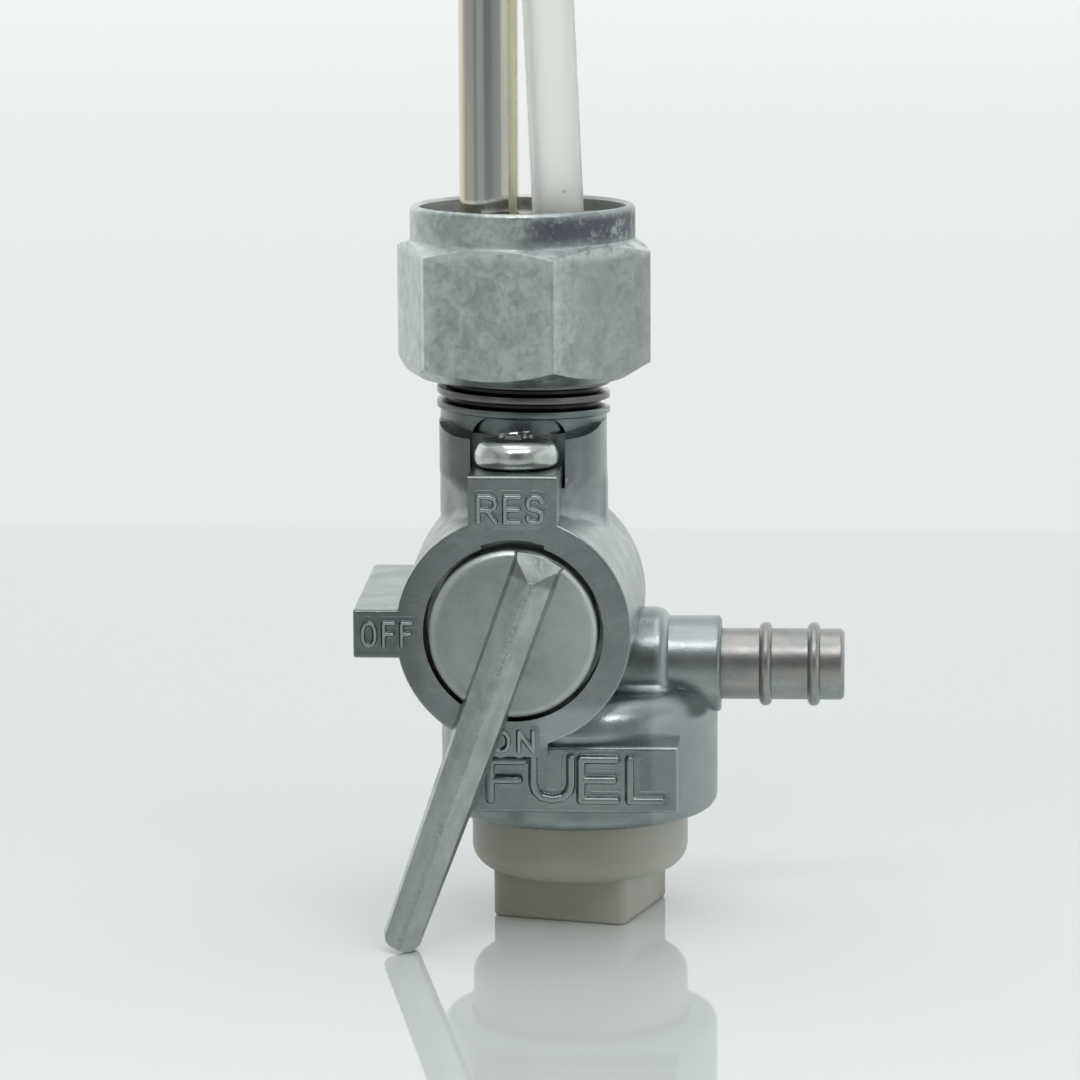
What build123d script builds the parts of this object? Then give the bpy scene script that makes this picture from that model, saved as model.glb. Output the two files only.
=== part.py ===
from build123d import *
import math
import os

# Frame: millimetres, +Z up, the standing plane is z = 0, the neck and union nut turn about the
# Z axis (x = 0, y = 0), the hose spigot points to +X and the lever faces -Y.

# named clearances
run_fit = 0.05          # radial running fit of the lever barrel and of its O-ring
thread_fit = 0.08       # radial gap between threads drawn as plain pitch cylinders
face_gap = 0.02         # gap between the turning rotor and the packing
swing_gap = 0.35        # gap between the lever bar and the front ring
loose_fit = 0.3         # radial gap of parts that drop in without a guide

# valve drum, its front ring and the tabs around it
drum_z = 32.65
ring_y = -17.6
drum_back = 8.0
ring_r = 12.0
drum_r = ring_r + 0.45
bore_r = ring_r - 2.8
bore_floor = -4.0
tab_half = 4.5
tab_rise = 3.8          # height of the RES tab above the drum
tab_top = drum_z + drum_r + tab_rise
tab_back = -6.4
pocket_top = tab_top + 4.6
ledge_z = tab_top - 2.5
web_top = tab_top + 3.6
web_low = drum_z + 7.35
web_y = -9.4             # front of the webs beside the screw
web_fall = 13.0         # fall of their top towards the front, degrees
wall_x = tab_half + 0.4
off_x = -drum_r - 3.85
off_low = drum_z - 2.7
off_high = off_low + 4.95
on_low = drum_z - drum_r - 0.4
on_high = on_low + 4.2
on_back = -12.0
on_half = 3.45

# union nut, its mouth and the neck that it turns on
nut_flats = 24.0
nut_corner = nut_flats / 2 / math.cos(math.pi / 6)
nut_turn = -13.34       # turn of the hexagon about Z, in degrees
mouth_r = nut_flats / 2 - 1.2
lip_r = mouth_r + 0.92
neck_r = mouth_r - 2.1
thread_root = neck_r - 0.6
thread_pitch_r = thread_root + 0.52
thread_low = tab_top + 4.3
thread_tilt = -5.4      # the neck's shoulder under the thread is higher at the front, degrees
thread_plain = thread_low + 4.2
neck_top = thread_low + 11.3
nut_seat = neck_top - 0.5
nut_low = thread_low + 3.6
nut_edge = 0.45         # worn rounding of the hexagon's upright edges
nut_tall = 14.3
nut_high = nut_low + nut_tall
lip_high = nut_high + 3.6
gasket_r = mouth_r - 0.4
gasket_hole = thread_pitch_r - 1.22
gasket_thick = 1.8

# lever
lever_turn = 20.0       # from straight down towards the left, as it stands in the photo
disc_r = bore_r - 0.53
disc_y = ring_y - 1.0
barrel_y = ring_y + 3.9
barrel_hole_r = bore_r - 2.9
barrel_hole_y = barrel_y + 0.9
bar_len = 34.2
bar_draft = 0.42        # how much wider each side of the bar is at its foot
nose_draft = 0.75       # the same at its upper end
nose_run = 2.8          # length of the slope at the upper end
bar_ridge = disc_y - 2.35
bar_shoulder = disc_y - 0.95
tip_out = 1.5           # how far the bar leans out towards its tip
groove_half = 1.6
groove_r = bore_r - 1.5
ring_section = 0.8
ring_groove_r = bore_r - run_fit - 2 * ring_section

# valve
packing_thick = 2.0
rotor_thick = 2.46
barrel_back = bore_floor - packing_thick - 0.4
port_ring = bore_r - 5.0
port_r = 1.2

# screw over the lever barrel
screw_y = barrel_y + 2.7
groove_y = screw_y
ring_groove_y = screw_y + 2.9
screw_head_r = tab_half - 0.15
screw_head_h = 3.35
screw_r = 2.0
screw_tip_r = 1.45

# hose spigot
spigot_z = 26.28
hose_r = 3.74
collar_r = hose_r + 1.31
waist_r = hose_r + 2.21
collar_in = 15.4
collar_out = collar_in + 5.3
hose_run = 12.9
hose_end = collar_out + hose_run
hose_bore = hose_r - 1.14
bead_x = (collar_out + 4.65, collar_out + 9.7)
bead_r = 0.66

# sediment chamber and cup
cup_x = 5.73
cup_r = 11.4
seal_r = 0.5
seal_seat_r = cup_r + 0.2
cup_thread_r = seal_seat_r - 2 * seal_r
cup_hole_r = cup_thread_r - 1.3
chamber_bore = cup_thread_r + thread_fit
chamber_r = cup_r + 3.15
chamber_low = 11.1
chamber_high = 24.4
ceiling = 20.7
cup_shoulder = chamber_low + 0.8
cup_rim = ceiling - 1.2
cup_floor = 4.6
foot = 14.7
foot_turn = -15.6
sump_r = foot / 3
cage_r = cup_thread_r - 4.5
cage_wall = 0.9

# raised panel on the front of the chamber
pad_y = -chamber_r - 0.95
pad_left, pad_right = -4.7, 16.7
pad_low = chamber_low + 2.4
pad_high = on_low - 0.1

# pipes, side by side in the neck
main_r = (neck_r - 2.5) / 2
main_x = -main_r - 0.35
main_hole = main_r - 0.75
main_seat = neck_top - 7.5
main_end = 108.0
lean = -2.45            # lean of the reserve tube in degrees
lean_x, lean_z = neck_r * 0.4253, neck_top + 9.34
tube_r = main_r - 0.42
stub_r = tube_r - 0.73
stub_hole = stub_r - 0.65
stub_seat = neck_top - 6.5
stub_end = neck_top + 5.5
tube_start = neck_top + 0.35
tube_rise = 36.0
tube_end = neck_top + tube_rise
passage_r = main_r - 1.5


def rod_z(x, y, r, z0, z1):
    return Pos(x, y, (z0 + z1) / 2) * Cylinder(r, z1 - z0)


def rod_y(x, z, r, y0, y1):
    return Pos(x, (y0 + y1) / 2, z) * Rot(90, 0, 0) * Cylinder(r, y1 - y0)


def rod_x(y, z, r, x0, x1):
    return Pos((x0 + x1) / 2, y, z) * Rot(0, 90, 0) * Cylinder(r, x1 - x0)


def block(x0, x1, y0, y1, z0, z1):
    return Pos((x0 + x1) / 2, (y0 + y1) / 2, (z0 + z1) / 2) * Box(x1 - x0, y1 - y0, z1 - z0)


def turned(points, x=0.0):
    """A solid of revolution about the vertical axis at x, from (radius, z) points."""
    wire = Polyline(*[(r, 0, z) for r, z in points], close=True)
    return Pos(x, 0, 0) * revolve(make_face(wire), Axis.Z)


def rounded(shape, edges, *radii):
    """Rounds the edges with the first of the radii that gives a sound solid."""
    for r in radii:
        try:
            out = shape.fillet(r, edges)
            if out.is_valid and out.volume > 0.5 * shape.volume:
                return out
        except Exception:
            pass
    return shape


def near(shape, kind=None, **want):
    """Edges whose centre lies near the named coordinates, each given as (value, tolerance)."""
    out = []
    for e in shape.edges():
        if kind is not None and e.geom_type != kind:
            continue
        c = e.bounding_box().center()
        where = {"x": c.X, "y": c.Y, "z": c.Z, "length": e.length}
        if all(abs(where[k] - v) <= tol for k, (v, tol) in want.items()):
            out.append(e)
    return out


def tilted(r, z0, z1):
    """A rod on the leaning axis of the reserve tube, between two heights."""
    k = math.cos(math.radians(lean))
    return Pos(lean_x, 0, lean_z) * Rot(0, lean, 0) * rod_z(0, 0, r, (z0 - lean_z) / k,
                                                            (z1 - lean_z) / k)


def neck_section(z, r, *points):
    """Outline of the neck at one height: round behind, squarish before; points lie on its right front."""
    right = [(x, y, z) for x, y in points]
    left = [(-x, y, z) for x, y in points[::-1]]
    front = Spline((-r, 0, z), *left, *right, (r, 0, z), tangents=((0, -1, 0), (0, 1, 0)))
    return make_face(front + ThreePointArc((r, 0, z), (0, r, z), (-r, 0, z)))


def neck_and_drum():
    """The neck stands on the drum; the screw head sits in a pocket cut into its squarish front."""
    r, w, foot_r = neck_r, wall_x + 0.1, neck_r + 0.1
    high = [(w, web_y), (r - 2.2, -8.6), (r - 0.8, -6.6), (r - 0.12, -3.4)]
    low = [(w, web_y - 1.4), (r - 2.4, -7.9), (r - 1.2, -5.0), (r - 0.3, -2.5)]
    foot_z = drum_z + drum_r + 0.3
    waist_z = ledge_z + 0.9
    lower = loft([neck_section(foot_z, foot_r, *low), neck_section(waist_z, r, *high)], ruled=True)
    lower += extrude(neck_section(foot_z, foot_r, *low), foot_z - web_low, dir=(0, 0, -1))
    both = lower + drum()
    joint = [e for e in both.edges() if web_low < e.bounding_box().center().Z < foot_z - 0.2
             and e.bounding_box().size.X > 2 and e.bounding_box().max.Y < 7.9]
    both = rounded(both, joint, 1.4, 1.0, 0.6)
    # its squarish front ends below the thread and falls a little towards the front
    tall = Box(3 * neck_r, 3 * neck_r, 8, align=(Align.CENTER, Align.CENTER, Align.MIN))
    upper = extrude(neck_section(waist_z, r, *high), web_top - waist_z, dir=(0, 0, 1))
    upper -= Pos(0, -7, web_top - 0.6) * Rot(web_fall, 0, 0) * tall
    neck = rod_z(0, 0, neck_r, waist_z, thread_low + 2)
    neck -= Pos(0, 0, thread_low) * Rot(thread_tilt, 0, 0) * tall
    return both + upper + neck


def screw_pocket():
    front = ring_y - 0.4
    at = Plane((0, front, 0), x_dir=(1, 0, 0), z_dir=(0, -1, 0))
    face = Pos(0, (ledge_z + pocket_top) / 2) * Rectangle(2 * wall_x, pocket_top - ledge_z)
    face = fillet([v for v in face.vertices() if v.Y > pocket_top - 0.1], 2.4)
    return extrude(at * face, tab_back - front, dir=(0, 1, 0))


def neck_screwed():
    return turned([(0, thread_low - 1.6), (thread_root, thread_low - 1.6),
                   (thread_root, thread_plain - 0.3), (thread_pitch_r, thread_plain),
                   (thread_pitch_r, neck_top - 0.7), (thread_pitch_r - 0.7, neck_top),
                   (0, neck_top)])


def drum():
    length = drum_back - ring_y
    body = Pos(0, ring_y, drum_z) * Rot(-90, 0, 0) * Cone(ring_r, drum_r, length,
                                                        align=(Align.CENTER, Align.CENTER, Align.MIN))
    body = rounded(body, near(body, y=(ring_y, 0.01)), 0.25, 0.2)
    return rounded(body, near(body, y=(drum_back, 0.01)), 1.4, 1.0)


def off_tab():
    back = drum_back - 0.6
    at = Plane((0, back, 0), x_dir=(1, 0, 0), z_dir=(0, -1, 0))
    face = Polygon((off_x - 0.5, off_low - 0.45), (3 - drum_r, off_low - 0.45), (3 - drum_r, off_high + 0.45),
                   (off_x - 0.5, off_high + 0.45), align=None)
    low = [v for v in face.vertices() if v.X < off_x and v.Y < off_low]
    face = fillet(low, 0.7)
    high = [v for v in face.vertices() if v.X < off_x + 0.4 and v.Y > off_high]
    face = fillet(high, 0.6)
    tab = extrude(at * face, back - ring_y, taper=1.05)
    front = [e for e in near(tab, y=(ring_y, 0.01)) if e.bounding_box().center().X < -drum_r + 1]
    return rounded(tab, front, 0.3, 0.2)


def res_tab():
    at = Plane((0, -4, 0), x_dir=(1, 0, 0), z_dir=(0, -1, 0))
    half = (tab_top - drum_z - 2.4) / 2
    face = Pos(0, tab_top - half) * Rectangle(2 * tab_half + 0.3, 2 * half)
    tab = extrude(at * face, -4 - ring_y, taper=0.6)
    return rounded(tab, near(tab, z=(tab_top, 0.6), y=(ring_y, 0.01)), 0.35)


def waist():
    """The arched mass that carries the spigot over the chamber."""
    w = rod_x(0, spigot_z, waist_r, -4, collar_in)
    w += block(-4, collar_in, -waist_r, waist_r, ceiling - 0.7, spigot_z)
    end = [e for e in near(w, x=(collar_in, 0.01)) if e.bounding_box().center().Z > ceiling - 0.2]
    return rounded(w, end, 1.6, 1.2, 0.8)


def chamber():
    c = rod_z(cup_x, 0, chamber_r, chamber_low, chamber_high)
    c = rounded(c, near(c, z=(chamber_high, 0.01)), 3.2)
    c = rounded(c, near(c, z=(chamber_low, 0.01)), 1.5)
    both = c + waist()
    foot_line = [e for e in near(both, z=(chamber_high, 0.01)) if e.bounding_box().max.X < collar_in + 0.6
                 and e.bounding_box().max.X > -3]
    return rounded(both, foot_line, 1.2, 0.8)


def pad():
    edge = Polyline((pad_left, pad_y, pad_low), (pad_right, pad_y, pad_low),
                    (pad_right, pad_y, pad_high + 0.75), (4.2, pad_y, pad_high + 0.75),
                    (pad_left, pad_y, pad_high), close=True)
    p = extrude(make_face(edge), 9, dir=(0, 1, 0))
    front = near(p, y=(pad_y, 0.01))
    return rounded(p, front, 0.35, 0.25)


def spigot():
    s = rod_x(0, spigot_z, collar_r, 8, collar_out)
    s = rounded(s, near(s, x=(collar_out, 0.01)), 0.45)
    hose = rod_x(0, spigot_z, hose_r, collar_out - 1, hose_end)
    hose = rounded(hose, near(hose, x=(hose_end, 0.01)), 0.55)
    s += hose
    for x in bead_x:
        s += Pos(x, 0, spigot_z) * Rot(0, 90, 0) * Torus(hose_r, bead_r)
    return s


def body_outside():
    b = neck_and_drum() - screw_pocket()
    b += off_tab()
    b += res_tab()
    b += block(-on_half - 0.15, on_half, ring_y, on_back, on_low, on_high)
    b += chamber()
    b += pad()
    b += spigot()
    b += neck_screwed()
    return b


def body_hollows():
    """Everything that is bored or cored out of the body."""
    cut = rod_y(0, drum_z, bore_r, ring_y - 1, bore_floor)
    # relief over the barrel, seen as a dark slot above the disc
    relief = rod_y(0, drum_z, bore_r + 0.35, ring_y - 1, barrel_y)
    cut += relief & block(-3.2, 3.2, ring_y - 2, 0, drum_z, drum_z + ring_r)
    # screw hole through the tab, thread drawn plain
    cut += rod_z(0, screw_y, screw_r, drum_z + groove_r, tab_top + 1)
    # ports in the valve face and the passages behind them
    k = port_ring / math.sqrt(2)
    for sx in (-1, 1):
        cut += rod_y(sx * k, drum_z + k, port_r, bore_floor - 1, 0.6)
        cut += rod_y(sx * k, drum_z - k, port_r, bore_floor - 1, 0.6)
    cut += rod_z(main_x, 0, passage_r, drum_z + 2.2, main_seat + 0.5)
    cut += rod_z(lean_x + 0.25, 0, passage_r, drum_z + 2.2, stub_seat + 0.5)
    cut += rod_x(0, drum_z - k, port_r, -3.4, k + 0.6)
    cut += rod_z(-3.4, 0, 1.5, ceiling, drum_z - k + 0.4)
    # seats of the two pipes in the neck
    cut += rod_z(main_x, 0, main_r, main_seat, neck_top + 1)
    cut += tilted(stub_r, stub_seat, neck_top + 1)
    # outlet
    cut += rod_x(0, spigot_z, hose_bore, 6.4, hose_end + 1)
    cut += Pos(hose_end, 0, spigot_z) * Rot(0, 90, 0) * Cone(
        hose_bore, hose_bore + 0.4, 0.4, align=(Align.CENTER, Align.CENTER, Align.MAX))
    cut += rod_z(8.4, 0, 2.0, ceiling - 0.5, spigot_z)
    # chamber, its thread bore, seal seat and the ring channel in the ceiling
    cut += rod_z(cup_x, 0, chamber_bore, chamber_low - 1, ceiling)
    cut += rod_z(cup_x, 0, seal_seat_r, chamber_low - 1, cup_shoulder + 2 * seal_r)
    channel = rod_z(cup_x, 0, cup_thread_r - 0.8, ceiling - 0.5, ceiling + 1.2)
    channel -= rod_z(cup_x, 0, cup_thread_r - 3.6, ceiling - 1, ceiling + 2)
    cut += channel
    return cut


def make_body():
    b = body_outside()
    b -= body_hollows()
    return b


def make_nut():
    hexagon = RegularPolygon(nut_corner, 6)
    hexagon = Rot(0, 0, nut_turn) * fillet(hexagon.vertices(), nut_edge)
    prism = Pos(0, 0, nut_low) * extrude(hexagon, nut_high - nut_low)
    out = nut_corner + 0.14
    prism &= turned([(0, nut_low), (out - 3.25, nut_low), (out, nut_low + 1.95), (out, nut_high - 1.15),
                     (lip_r, nut_high), (0, nut_high)])
    lip = rod_z(0, 0, lip_r, nut_high - 2, lip_high)
    lip = rounded(lip, near(lip, z=(lip_high, 0.01)), 0.55)
    nut = prism + lip
    hole = turned([(0, nut_low - 1), (thread_root + 0.9, nut_low - 1), (thread_root + 0.9, nut_low),
                   (thread_pitch_r + thread_fit, nut_low + 0.55), (thread_pitch_r + thread_fit, nut_seat),
                   (mouth_r, nut_seat), (mouth_r, lip_high - 0.3), (mouth_r + 0.3, lip_high),
                   (mouth_r + 0.3, lip_high + 1), (0, lip_high + 1)])
    return nut - hole


def make_gasket():
    high = neck_top + gasket_thick
    return rod_z(0, 0, gasket_r, neck_top, high) - rod_z(0, 0, gasket_hole, neck_top - 1, high + 1)


def make_main():
    pipe = rod_z(main_x, 0, main_r, main_seat, main_end)
    pipe = rounded(pipe, near(pipe, z=(main_end, 0.01)), 0.2)
    return pipe - rod_z(main_x, 0, main_hole, main_seat - 1, main_end + 1)


def make_stub():
    return tilted(stub_r, stub_seat, stub_end) - tilted(stub_hole, stub_seat - 1, stub_end + 1)


def make_tube():
    return tilted(tube_r, tube_start, tube_end) - tilted(stub_r, tube_start - 1, tube_end + 1)


def bar_section(z, width, ridge, shoulder, base, draft=bar_draft):
    h = width / 2
    k = h - draft
    line = Polyline((-h, base, z), (h, base, z), (k, shoulder, z), (0.25, ridge, z), (-0.25, ridge, z),
                    (-k, shoulder, z), close=True)
    return make_face(line)


def lever_bar():
    base = ring_y - swing_gap
    tip = drum_z - bar_len
    nose = drum_z + disc_r
    faces = [bar_section(nose, 5.7, bar_ridge, bar_shoulder, base, nose_draft),
             bar_section(nose - 3.7, 5.6, bar_ridge, bar_shoulder, base, nose_draft),
             bar_section(drum_z - disc_r, 5.0, bar_ridge, bar_shoulder, base),
             bar_section(tip, 3.9, bar_ridge - tip_out + 0.3, bar_shoulder - tip_out, base - tip_out, 0.25)]
    bar = loft(faces[:2], ruled=True)
    for k in range(1, len(faces) - 1):
        bar += loft(faces[k:k + 2], ruled=True)
    corners = [e for e in bar.edges() if abs(e.bounding_box().center().Z - tip) < 0.02
               and e.bounding_box().size.Y > 1.0 and e.bounding_box().size.X < 0.5]
    bar = rounded(bar, corners, 0.8, 0.6, 0.4)
    # the nose runs out to the rim of the disc as one flat slope
    low = nose - nose_run
    above = Polyline((-10, disc_y - 0.04, nose - 0.1), (-10, bar_ridge - 0.1, low),
                     (-10, bar_ridge - 5, low), (-10, bar_ridge - 5, nose + 5),
                     (-10, disc_y - 0.04, nose + 5), close=True)
    bar -= extrude(make_face(above), 20, dir=(1, 0, 0))
    outside = block(-10, 10, bar_ridge - 1, base + 1, drum_z + 2, nose + 5)
    bar -= outside - rod_y(0, drum_z, disc_r - 0.1, bar_ridge - 2, base + 2)
    crown = [e for e in bar.edges() if low - 0.3 < e.bounding_box().center().Z < nose - 1
             and e.bounding_box().center().Y < disc_y - 0.9 and e.bounding_box().size.Z > 0.3
             and e.bounding_box().size.X > 0.5]
    return rounded(bar, crown, 0.5, 0.3)


def make_lever():
    barrel = rod_y(0, drum_z, bore_r - run_fit, barrel_y, barrel_back)
    face = rod_y(0, drum_z, disc_r, disc_y, barrel_y)
    face = rounded(face, near(face, y=(disc_y, 0.01)), 0.85, 0.7)
    lever = barrel + face + lever_bar()
    lever -= rod_y(0, drum_z, barrel_hole_r, barrel_hole_y, barrel_back + 1)
    # notches that turn the rotor with the barrel
    notch = barrel_hole_r + 1.0
    lever -= block(-notch, notch, barrel_hole_y + 3.2, barrel_back + 1, drum_z - 1.05, drum_z + 1.05)
    # groove of the O-ring
    seal = rod_y(0, drum_z, bore_r + 1, ring_groove_y - ring_section, ring_groove_y + ring_section)
    lever -= seal - rod_y(0, drum_z, ring_groove_r, ring_groove_y - 1, ring_groove_y + 1)
    # groove for the screw tip, cut over the half turn that the lever may make
    band = Polyline((groove_r, groove_y - groove_half, 0), (bore_r + 1, groove_y - groove_half, 0),
                    (bore_r + 1, groove_y + groove_half, 0), (groove_r, groove_y + groove_half, 0),
                    close=True)
    track = revolve(make_face(band), Axis.Y, revolution_arc=206)
    lever -= Pos(0, 0, drum_z) * Rot(0, 90 - 13, 0) * track
    return Pos(0, 0, drum_z) * Rot(0, lever_turn, 0) * Pos(0, 0, -drum_z) * lever


def make_lever_ring():
    r = ring_groove_r + ring_section
    return Pos(0, ring_groove_y, drum_z) * Rot(90, 0, 0) * Torus(r, ring_section)


def rotor_face():
    return bore_floor - packing_thick - face_gap


def make_rotor():
    front = rotor_face()
    back = front - rotor_thick
    r = rod_y(0, drum_z, barrel_hole_r - 0.1, back, front)
    lug = barrel_hole_r + 0.8
    r += block(-lug, lug, back, barrel_back - 0.3, drum_z - 0.95, drum_z + 0.95)
    at = Plane((0, front, drum_z), x_dir=(1, 0, 0), z_dir=(0, -1, 0))
    slot = SlotArc(CenterArc((0, 0), port_ring, 135, 90), 2 * port_r)
    r -= extrude(at * slot, 1.3)
    return Pos(0, 0, drum_z) * Rot(0, lever_turn, 0) * Pos(0, 0, -drum_z) * r


def make_spring():
    front = rotor_face() - rotor_thick
    length = front - barrel_hole_y
    wire_r = 0.42
    path = Helix(pitch=(length - wire_r) / 3, height=length - wire_r, radius=barrel_hole_r - 2.1)
    ring = Plane(origin=path @ 0, z_dir=path % 0) * Circle(wire_r)
    coil = sweep(ring, path, is_frenet=True)
    coil = Pos(0, barrel_hole_y + wire_r / 2, drum_z) * Rot(-90, 0, 0) * coil
    return coil & block(-8, 8, barrel_hole_y, front, drum_z - 8, drum_z + 8)


def make_packing():
    p = rod_y(0, drum_z, bore_r - 0.03, bore_floor - packing_thick, bore_floor)
    k = port_ring / math.sqrt(2)
    for sx in (-1, 1):
        for sz in (-1, 1):
            p -= rod_y(sx * k, drum_z + sz * k, port_r, bore_floor - 5, bore_floor + 1)
    return p


def make_screw():
    r, h, z = screw_head_r, screw_head_h, tab_top
    line = Polyline((0, 0, z), (r - 0.45, 0, z)) + Spline(
        (r - 0.45, 0, z), (r, 0, z + 0.85), (r - 0.06, 0, z + 1.65), (r - 0.5, 0, z + 2.35),
        (r - 1.4, 0, z + 2.86), (r - 2.6, 0, z + 3.18), (0, 0, z + h), tangents=((1, 0, 0.4), (-1, 0, 0)))
    line += Polyline((0, 0, z + h), (0, 0, z))
    head = Pos(0, screw_y, 0) * revolve(make_face(line), Axis.Z)
    for a in (35, 125):
        slot = Polyline((-2.5, 0, 0.1), (2.5, 0, 0.1), (0.9, 0, -1.9), (-0.9, 0, -1.9), close=True)
        arm = Pos(0, -0.5, 0) * extrude(make_face(slot), 1.0, dir=(0, 1, 0))
        head -= Pos(0, screw_y, tab_top + screw_head_h) * Rot(0, 0, a) * arm
    tip = drum_z + groove_r + 0.15
    shank = rod_z(0, screw_y, screw_r, drum_z + bore_r + 0.15, tab_top)
    return head + shank + rod_z(0, screw_y, screw_tip_r, tip, tab_top)


def make_cup():
    k = 2.6
    line = Polyline((0, 0, cup_floor), (cup_r - k, 0, cup_floor))
    arc = TangentArc((cup_r - k, 0, cup_floor), (cup_r, 0, cup_floor + k), tangent=(1, 0, 0))
    rest = Polyline((cup_r, 0, cup_floor + k), (cup_r, 0, cup_shoulder), (cup_thread_r, 0, cup_shoulder),
                    (cup_thread_r, 0, cup_rim), (cup_hole_r, 0, cup_rim),
                    (cup_hole_r, 0, cup_floor + 3.6), (cup_hole_r - 1.9, 0, cup_floor + 1.7),
                    (0, 0, cup_floor + 1.7), (0, 0, cup_floor))
    cup = Pos(cup_x, 0, 0) * revolve(make_face(line + arc + rest), Axis.Z)
    base = extrude(RectangleRounded(foot, foot, 1.0), cup_floor + 0.8)
    base = rounded(base, [e for e in base.edges() if e.bounding_box().max.Z < 0.01], 0.45)
    cup += Pos(cup_x, 0, 0) * Rot(0, 0, foot_turn) * base
    return cup - rod_z(cup_x, 0, sump_r, 1.9, cup_floor + 3)


def make_cup_ring():
    return Pos(cup_x, 0, cup_shoulder + seal_r) * Torus(cup_thread_r + seal_r, seal_r)


def make_strainer():
    over = rod_z(0, 0, cage_r - cage_wall, cup_rim - 1, ceiling + 1)
    top = rod_z(0, 0, cup_thread_r - loose_fit, cup_rim, ceiling) - over
    for k in range(6):
        a = math.radians(60 * k)
        ring = (cage_r + cup_thread_r - loose_fit) / 2
        top -= rod_z(ring * math.cos(a), ring * math.sin(a), 1.3, cup_rim - 1, ceiling + 1)
    foot_z = cup_floor + 2.8
    cage = rod_z(0, 0, cage_r, foot_z, cup_rim + 0.3)
    cage -= rod_z(0, 0, cage_r - cage_wall, foot_z + 1, cup_rim + 1)
    window = block(0, cage_r + 2, -cage_r / 2, cage_r / 2, foot_z + 2.2, cup_rim - 1.7)
    for k in range(4):
        cage -= Rot(0, 0, 90 * k) * window
    return Pos(cup_x, 0, 0) * (top + cage)


def make_gauze():
    low, out = cup_floor + 3.8, cage_r - cage_wall
    g = rod_z(0, 0, out, low, ceiling) - rod_z(0, 0, out - 0.25, low - 1, ceiling + 1)
    holes = []
    for row in range(6):
        for k in range(12):
            if k % 3 == 1:
                continue
            hole = Rot(0, 0, 30 * k - 30) * Pos(out - 0.2, 0, low + 1.8 + 1.4 * row) * Box(2, 0.8, 0.8)
            holes.append(hole)
    return Pos(cup_x, 0, 0) * (g - holes)


def save(name, shape):
    solids = shape.solids()
    if len(solids) != 1:
        print(name, "has", len(solids), "solids, sizes", [round(s.volume, 2) for s in solids])
    export_step(shape, "parts/" + name + ".step")


def main():
    os.makedirs("parts", exist_ok=True)
    save("body", make_body())
    save("union_nut", make_nut())
    save("tank_gasket", make_gasket())
    save("main_standpipe", make_main())
    save("reserve_stub", make_stub())
    save("reserve_tube", make_tube())
    save("lever", make_lever())
    save("lever_o_ring", make_lever_ring())
    save("lever_spring", make_spring())
    save("valve_rotor", make_rotor())
    save("valve_packing", make_packing())
    save("lever_screw", make_screw())
    save("sediment_cup", make_cup())
    save("cup_o_ring", make_cup_ring())
    save("strainer_frame", make_strainer())
    save("strainer_gauze", make_gauze())


main()
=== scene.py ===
import math

import bmesh
import bpy
import numpy as np
from mathutils import Matrix, Vector


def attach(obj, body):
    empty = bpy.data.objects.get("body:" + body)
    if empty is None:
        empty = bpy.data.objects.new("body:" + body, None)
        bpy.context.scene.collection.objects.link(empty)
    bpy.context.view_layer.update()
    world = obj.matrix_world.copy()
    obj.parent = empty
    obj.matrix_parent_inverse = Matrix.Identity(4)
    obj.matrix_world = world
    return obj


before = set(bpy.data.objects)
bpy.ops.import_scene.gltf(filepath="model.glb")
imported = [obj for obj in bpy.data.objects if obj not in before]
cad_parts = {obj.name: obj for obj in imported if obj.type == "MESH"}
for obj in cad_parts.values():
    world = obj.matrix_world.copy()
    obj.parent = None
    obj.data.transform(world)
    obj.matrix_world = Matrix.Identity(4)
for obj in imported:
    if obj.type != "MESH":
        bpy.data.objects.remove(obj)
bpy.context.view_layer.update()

MM = 0.001

# sizes and places of the CAD model, in millimetres; front faces are given by their y
NECK_ROOT, NECK_CREST, NECK_PITCH = 8.1, 9.05, 1.5
NECK_LOW, NECK_HIGH = 53.35, 57.6
NUT_MOUTH, NUT_SEAT, NUT_LIP = 10.8, 64.0, 74.7
NUT_PITCH, NUT_THREAD_DEEP = 1.25, 0.75
RING_FACE, PAD_FACE, DISC_FACE = -17.6, -15.5, -18.7
DRUM_Z, BORE_R = 32.65, 9.6
LEVER_TURN = math.radians(20.0)
MAIN_X, MAIN_R = -3.45, 3.1

# the camera, fitted to the picture: pixels, millimetres and degrees
IMAGE_SIDE, FOCAL = 1080, 4784.9
CAMERA_TARGET, CAMERA_DISTANCE = (1.627, 0, 39.322), 502.43
CAMERA_PITCH, CAMERA_PAN, CAMERA_ROLL = 9.413, 3.817, -0.322

# heights of the letters on the ring and on the panel, and how much casting they are sunk into
FACE_HIGH, PAD_HIGH, WORD_SUNK = 0.26, 0.4, 0.12


# ---- shader helpers

class Value:
    """A float or vector socket that takes part in plain Python maths."""

    def __init__(self, shade, socket):
        self.shade, self.socket = shade, socket

    def _op(self, operation, *args):
        return self.shade.math(operation, *args)

    def __add__(self, other):
        return self._op("ADD", self, other)

    __radd__ = __add__

    def __sub__(self, other):
        return self._op("SUBTRACT", self, other)

    def __rsub__(self, other):
        return self._op("SUBTRACT", other, self)

    def __mul__(self, other):
        return self._op("MULTIPLY", self, other)

    __rmul__ = __mul__

    def __truediv__(self, other):
        return self._op("DIVIDE", self, other)

    def __rtruediv__(self, other):
        return self._op("DIVIDE", other, self)

    def __pow__(self, other):
        return self._op("POWER", self, other)

    def __rpow__(self, other):
        return self._op("POWER", other, self)

    def __abs__(self):
        return self._op("ABSOLUTE", self)


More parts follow.
